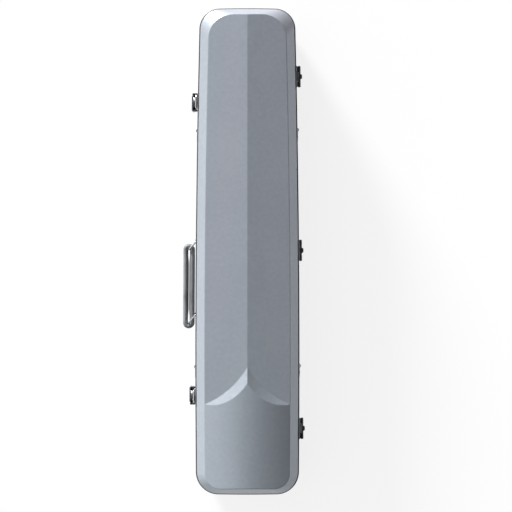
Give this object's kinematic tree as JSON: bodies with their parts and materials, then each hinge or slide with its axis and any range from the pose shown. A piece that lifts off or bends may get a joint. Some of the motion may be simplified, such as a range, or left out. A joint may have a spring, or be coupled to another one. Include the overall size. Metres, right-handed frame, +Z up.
{
  "type": "erhu case",
  "caption": "Hard case for an erhu, tapered to one end, with a ridged, hinged lid, draw latches, a swinging padded handle and strap rings",
  "frame": {"origin": "the middle of the flat back that the case rests on, halfway along and across its rims", "axes": "+Z up through the lid, +Y along the case to its narrow end, +X across the case to its hinges"},
  "size_m": [0.2173, 0.8598, 0.135],
  "materials": {
    "shell": "satin metallic lacquer with a fine pebbled skin",
    "rim": "dark anodised",
    "hardware": "satin black",
    "wire": "polished nickel",
    "leather": "padded, matte",
    "rubber": "matte",
    "plush": "short pile",
    "ribbon": "woven",
    "plastic": "matte"
  },
  "bodies": {
    "base": {"base_shell": "shell", "base_rim": "rim", "rim_seal": "rubber", "base_cradle": "plush", "base_rivets": "hardware", "hinge_base_leaf_1": "hardware", "hinge_base_leaf_2": "hardware", "hinge_base_leaf_3": "hardware", "hinge_pin_1": "hardware", "hinge_pin_2": "hardware", "hinge_pin_3": "hardware", "latch_plate_1": "hardware", "latch_plate_2": "hardware", "latch_pivots_1": "hardware", "latch_pivots_2": "hardware", "handle_saddle_1": "hardware", "handle_saddle_2": "hardware", "strap_saddle_1": "hardware", "strap_saddle_2": "hardware", "strap_saddle_3": "hardware", "strap_saddle_4": "hardware"},
    "lid": {"lid_shell": "shell", "lid_rim": "rim", "lid_lining": "plush", "lid_rivets": "hardware", "hinge_lid_leaf_1": "hardware", "hinge_lid_leaf_2": "hardware", "hinge_lid_leaf_3": "hardware", "latch_keeper_1": "hardware", "latch_keeper_2": "hardware", "bow_clip_post_1": "plastic", "bow_clip_post_2": "plastic"},
    "accessory_lid": {"accessory_lid": "plush", "pull_tab": "ribbon"},
    "handle_ring_1": {"handle_ring_1": "wire"},
    "handle_grip": {"handle_grip": "leather"},
    "handle_ring_2": {"handle_ring_2": "wire"},
    "latch_lever_1": {"latch_lever_1": "hardware"},
    "latch_bail_1": {"latch_bail_1": "wire"},
    "latch_lever_2": {"latch_lever_2": "hardware"},
    "latch_bail_2": {"latch_bail_2": "wire"},
    "strap_ring_1": {"strap_ring_1": "wire"},
    "strap_ring_2": {"strap_ring_2": "wire"},
    "strap_ring_3": {"strap_ring_3": "wire"},
    "strap_ring_4": {"strap_ring_4": "wire"},
    "bow_clip_1": {"bow_clip_1": "plastic"},
    "bow_clip_2": {"bow_clip_2": "plastic"}
  },
  "joints": [
    {"name": "lid_hinge", "type": "hinge", "parent": "base", "child": "lid", "pos_m": [0.09418, 0.002, 0.08], "axis": [-0.0078, 1, 0], "range_deg": [0, 105]},
    {"name": "accessory_lid_lift", "type": "slide", "parent": "base", "child": "accessory_lid", "axis": [0, 0, 1], "range_m": [0, 0.014]},
    {"name": "latch_1_lever", "type": "hinge", "parent": "base", "child": "latch_lever_1", "pos_m": [-0.09228, 0.26513, 0.07], "axis": [0.0194, 0.9998, 0], "range_deg": [0, 100]},
    {"name": "latch_1_bail", "type": "hinge", "parent": "latch_lever_1", "child": "latch_bail_1", "pos_m": [-0.09073, 0.2651, 0.058], "axis": [0.0194, 0.9998, 0], "range_deg": [-83, 0]},
    {"name": "latch_2_lever", "type": "hinge", "parent": "base", "child": "latch_lever_2", "pos_m": [-0.09651, -0.25602, 0.07], "axis": [-0.0032, 1, 0], "range_deg": [0, 100]},
    {"name": "latch_2_bail", "type": "hinge", "parent": "latch_lever_2", "child": "latch_bail_2", "pos_m": [-0.09496, -0.25602, 0.058], "axis": [-0.0032, 1, 0], "range_deg": [-83, 0]},
    {"name": "handle_swing", "type": "hinge", "parent": "base", "child": "handle_ring_1", "pos_m": [-0.09055, 0.01951, 0.046], "axis": [0, 0, -1], "range_deg": [0, 100]},
    {"name": "handle_grip_turn", "type": "hinge", "parent": "handle_ring_1", "child": "handle_grip", "pos_m": [-0.10414, 0.0035, 0.046], "axis": [0, 0, -1], "range_deg": [-100, 0]},
    {"name": "handle_ring_2_swing", "type": "hinge", "parent": "base", "child": "handle_ring_2", "pos_m": [-0.09132, -0.111, 0.046], "axis": [0, 0, -1], "range_deg": [0, 100]},
    {"name": "strap_ring_1_swing", "type": "hinge", "parent": "base", "child": "strap_ring_1", "pos_m": [-0.08843, 0.21503, 0.046], "axis": [0, 0, -1], "range_deg": [0, 170]},
    {"name": "strap_ring_2_swing", "type": "hinge", "parent": "base", "child": "strap_ring_2", "pos_m": [-0.09184, -0.206, 0.046], "axis": [0, 0, -1], "range_deg": [0, 170]},
    {"name": "strap_ring_3_swing", "type": "hinge", "parent": "base", "child": "strap_ring_3", "pos_m": [0.08839, 0.21703, 0.046], "axis": [0, 0, 1], "range_deg": [0, 170]},
    {"name": "strap_ring_4_swing", "type": "hinge", "parent": "base", "child": "strap_ring_4", "pos_m": [0.09184, -0.204, 0.046], "axis": [0, 0, 1], "range_deg": [0, 170]},
    {"name": "bow_clip_1_turn", "type": "hinge", "parent": "lid", "child": "bow_clip_1", "pos_m": [-0.01, 0.24, 0.102], "axis": [0, 0, 1], "range_deg": [0, 90]},
    {"name": "bow_clip_2_turn", "type": "hinge", "parent": "lid", "child": "bow_clip_2", "pos_m": [-0.01, -0.24, 0.102], "axis": [0, 0, -1], "range_deg": [0, 90]}
  ],
  "couplings": [
    {"joint": "latch_1_bail", "follows": "latch_1_lever", "ratio": -0.83},
    {"joint": "latch_2_bail", "follows": "latch_2_lever", "ratio": -0.83},
    {"joint": "handle_grip_turn", "follows": "handle_swing", "ratio": -1},
    {"joint": "handle_ring_2_swing", "follows": "handle_swing", "ratio": 1}
  ]
}
